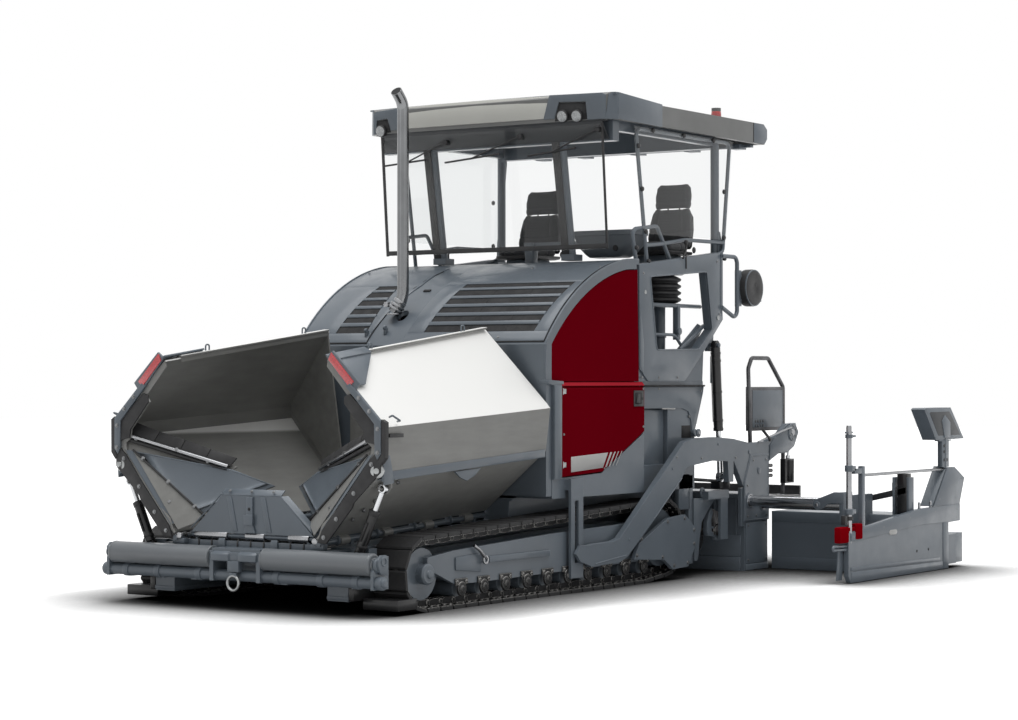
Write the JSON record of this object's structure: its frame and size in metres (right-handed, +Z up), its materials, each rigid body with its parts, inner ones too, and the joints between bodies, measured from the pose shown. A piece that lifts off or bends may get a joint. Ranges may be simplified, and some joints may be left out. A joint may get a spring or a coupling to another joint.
{
  "type": "tracked asphalt paver",
  "caption": "Tracked asphalt paver with folding hopper wings, conveyor, roofed operator's platform, augers and an extending screed on levelling arms.",
  "frame": {"origin": "on the ground under the middle of the whole machine's box", "axes": "+X forward to the push bar, +Y to the machine's left, +Z up"},
  "size_m": [6.7015, 5.19, 3.9108],
  "materials": {
    "grey_paint": "semi-gloss blue-grey paint",
    "roller_paint": "worn grey paint",
    "light_paint": "semi-gloss warm white paint",
    "red_paint": "gloss dark red paint",
    "black_steel": "satin black paint",
    "chrome_rod": "ground hard chrome",
    "exhaust_chrome": "dark polished steel",
    "zinc": "zinc plated",
    "wear_steel": "worn bare steel",
    "track_rubber": "black rubber pads on steel links",
    "roof_shell": "satin moulded roof shell",
    "seat_fabric": "dark grey woven fabric",
    "black_plastic": "black moulded plastic",
    "console_plastic": "grey moulded plastic",
    "glass": "clear glass"
  },
  "bodies": {
    "tractor": {"chassis": "grey_paint", "conveyor_deck": "wear_steel", "push_bar": "grey_paint", "tow_ring": "zinc", "hopper_back": "light_paint", "engine_hood": "grey_paint", "hood_grilles": "grey_paint", "engine_block": "black_steel", "rear_body": "grey_paint", "platform_floor": "grey_paint", "roof": "roof_shell", "roof_frame": "grey_paint", "windscreen": "glass", "console": "console_plastic", "exhaust_pipe": "exhaust_chrome", "auger_frame": "grey_paint", "track_left": "track_rubber", "track_frame_left": "grey_paint", "sprocket_cover_left": "grey_paint", "fender_left": "grey_paint", "hood_side_left": "red_paint", "platform_side_left": "grey_paint", "side_glass_left": "glass", "seat_left": "seat_fabric", "seat_base_left": "black_plastic", "track_right": "track_rubber", "track_frame_right": "grey_paint", "sprocket_cover_right": "grey_paint", "fender_right": "grey_paint", "hood_side_right": "red_paint", "platform_side_right": "grey_paint", "side_glass_right": "glass", "seat_right": "seat_fabric", "seat_base_right": "black_plastic"},
    "push_roller_left": {"push_roller_left": "roller_paint"},
    "hopper_wing_left": {"hopper_wing_left": "light_paint"},
    "hopper_barrel_left": {"hopper_barrel_left": "black_steel"},
    "hopper_rod_left": {"hopper_rod_left": "chrome_rod"},
    "side_door_left": {"side_door_left": "red_paint"},
    "auger_left": {"auger_left": "wear_steel"},
    "lift_barrel_left": {"lift_barrel_left": "black_steel"},
    "lift_rod_left": {"lift_rod_left": "chrome_rod"},
    "extension_left": {"screed_extension_left": "grey_paint", "end_gate_left": "grey_paint"},
    "push_roller_right": {"push_roller_right": "roller_paint"},
    "hopper_wing_right": {"hopper_wing_right": "light_paint"},
    "hopper_barrel_right": {"hopper_barrel_right": "black_steel"},
    "hopper_rod_right": {"hopper_rod_right": "chrome_rod"},
    "side_door_right": {"side_door_right": "red_paint"},
    "auger_right": {"auger_right": "wear_steel"},
    "lift_barrel_right": {"lift_barrel_right": "black_steel"},
    "lift_rod_right": {"lift_rod_right": "chrome_rod"},
    "extension_right": {"screed_extension_right": "grey_paint", "end_gate_right": "grey_paint"},
    "front_apron": {"front_apron": "grey_paint"},
    "screed": {"screed_main": "grey_paint", "screed_walkway": "wear_steel", "tow_arm_left": "grey_paint", "tow_arm_right": "grey_paint"}
  },
  "joints": [
    {"name": "hopper_wing_left", "type": "hinge", "parent": "tractor", "child": "hopper_wing_left", "pos_m": [3.22, 0.655, 0.48], "axis": [-0.9985, 0, 0.0549], "range_deg": [0, 28]},
    {"name": "hopper_barrel_left", "type": "hinge", "parent": "tractor", "child": "hopper_barrel_left", "pos_m": [3.134, 0.95, 0.42], "axis": [-1, 0, 0], "range_deg": [0, 40]},
    {"name": "hopper_rod_left", "type": "slide", "parent": "hopper_barrel_left", "child": "hopper_rod_left", "axis": [0, -0.413, -0.9107], "range_m": [0, 0.136]},
    {"name": "push_roller_left", "type": "hinge", "parent": "tractor", "child": "push_roller_left", "pos_m": [3.2725, 0.7, 0.363], "axis": [0, 1, 0], "continuous": true},
    {"name": "side_door_left", "type": "hinge", "parent": "tractor", "child": "side_door_left", "pos_m": [0.97, 1.2, 1.2], "axis": [0, 0, -1], "range_deg": [0, 100]},
    {"name": "auger_left", "type": "hinge", "parent": "tractor", "child": "auger_left", "pos_m": [-1.52, 0.6, 0.35], "axis": [0, 1, 0], "continuous": true},
    {"name": "screed_extension_left", "type": "slide", "parent": "screed", "child": "extension_left", "axis": [0, 1, 0], "range_m": [-0.88, 0]},
    {"name": "hopper_wing_right", "type": "hinge", "parent": "tractor", "child": "hopper_wing_right", "pos_m": [3.22, -0.655, 0.48], "axis": [0.9985, 0, -0.0549], "range_deg": [0, 28]},
    {"name": "hopper_barrel_right", "type": "hinge", "parent": "tractor", "child": "hopper_barrel_right", "pos_m": [3.134, -0.95, 0.42], "axis": [1, 0, 0], "range_deg": [0, 40]},
    {"name": "hopper_rod_right", "type": "slide", "parent": "hopper_barrel_right", "child": "hopper_rod_right", "axis": [0, 0.413, -0.9107], "range_m": [0, 0.136]},
    {"name": "push_roller_right", "type": "hinge", "parent": "tractor", "child": "push_roller_right", "pos_m": [3.2725, -0.7, 0.363], "axis": [0, 1, 0], "continuous": true},
    {"name": "side_door_right", "type": "hinge", "parent": "tractor", "child": "side_door_right", "pos_m": [0.97, -1.2, 1.2], "axis": [0, 0, 1], "range_deg": [0, 100]},
    {"name": "auger_right", "type": "hinge", "parent": "tractor", "child": "auger_right", "pos_m": [-1.52, -0.6, 0.35], "axis": [0, 1, 0], "continuous": true},
    {"name": "screed_extension_right", "type": "slide", "parent": "screed", "child": "extension_right", "axis": [0, -1, 0], "range_m": [-0.88, 0]},
    {"name": "front_apron", "type": "hinge", "parent": "tractor", "child": "front_apron", "pos_m": [3.13, 0, 0.505], "axis": [0, 1, 0], "range_deg": [0, 70]},
    {"name": "screed_lift", "type": "hinge", "parent": "tractor", "child": "screed", "pos_m": [0.83, 0, 0.3], "axis": [0, 1, 0], "range_deg": [0, 8]},
    {"name": "lift_barrel_left", "type": "hinge", "parent": "tractor", "child": "lift_barrel_left", "pos_m": [-1.43, 1.185, 1.9], "axis": [0, -1, 0], "range_deg": [0, 6.1]},
    {"name": "lift_rod_left", "type": "slide", "parent": "lift_barrel_left", "child": "lift_rod_left", "axis": [0.0725, 0, 0.9974], "range_m": [0, 0.334]},
    {"name": "lift_barrel_right", "type": "hinge", "parent": "tractor", "child": "lift_barrel_right", "pos_m": [-1.43, -1.185, 1.9], "axis": [0, -1, 0], "range_deg": [0, 6.1]},
    {"name": "lift_rod_right", "type": "slide", "parent": "lift_barrel_right", "child": "lift_rod_right", "axis": [0.0725, 0, 0.9974], "range_m": [0, 0.334]}
  ],
  "couplings": [
    {"joint": "hopper_barrel_left", "follows": "hopper_wing_left", "ratio": 1.307},
    {"joint": "hopper_rod_left", "follows": "hopper_wing_left", "m_per_rad": 0.26487},
    {"joint": "hopper_barrel_right", "follows": "hopper_wing_right", "ratio": 1.307},
    {"joint": "hopper_rod_right", "follows": "hopper_wing_right", "m_per_rad": 0.26487},
    {"joint": "lift_barrel_left", "follows": "screed_lift", "ratio": 0.55773},
    {"joint": "lift_rod_left", "follows": "screed_lift", "m_per_rad": 2.3274},
    {"joint": "lift_barrel_right", "follows": "screed_lift", "ratio": 0.55773},
    {"joint": "lift_rod_right", "follows": "screed_lift", "m_per_rad": 2.3274}
  ]
}
